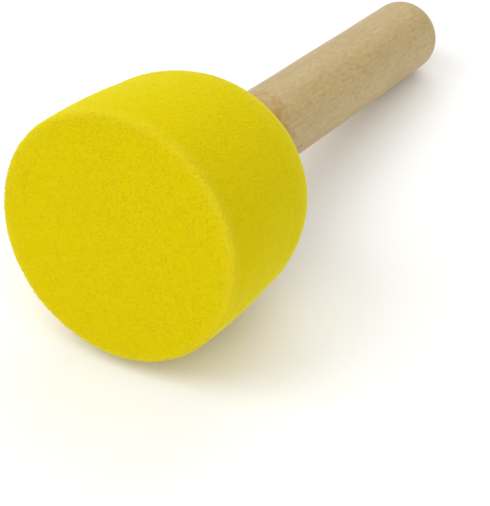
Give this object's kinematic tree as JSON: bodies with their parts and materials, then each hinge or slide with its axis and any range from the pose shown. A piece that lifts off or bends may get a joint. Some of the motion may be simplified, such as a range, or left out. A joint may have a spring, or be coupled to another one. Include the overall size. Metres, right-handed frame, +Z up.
{
  "type": "foam sponge brush",
  "caption": "Round foam head with a flat painting face and rounded back, glued on a short round wooden dowel with a rounded end, for dabbing and stippling paint.",
  "frame": {"origin": "on the surface that the brush lies on, under the middle of the whole brush's box", "axes": "the brush lies on its side: +Y runs from the painting face to the handle's far end, +Z is up, and the handle's axis dips 9.6 degrees below +Y because the thick head and the thin handle both touch the surface"},
  "size_m": [0.0352, 0.0926, 0.0368],
  "materials": {
    "yellow_foam": "open-cell polyurethane foam, matt, fine cells",
    "birch_wood": "plain sanded wood, unvarnished",
    "cured_glue": "cured glue, amber, slightly shiny"
  },
  "bodies": {
    "handle_body": {"handle": "birch_wood", "glue_bond": "cured_glue"},
    "foam_body": {"sponge_head": "yellow_foam"}
  },
  "joints": [
    {"name": "foam_press", "type": "slide", "parent": "handle_body", "child": "foam_body", "axis": [0, 0.9859, -0.167], "range_m": [0, 0.005], "stiffness_N_per_m": 600, "deforming": ["sponge_head"]}
  ]
}
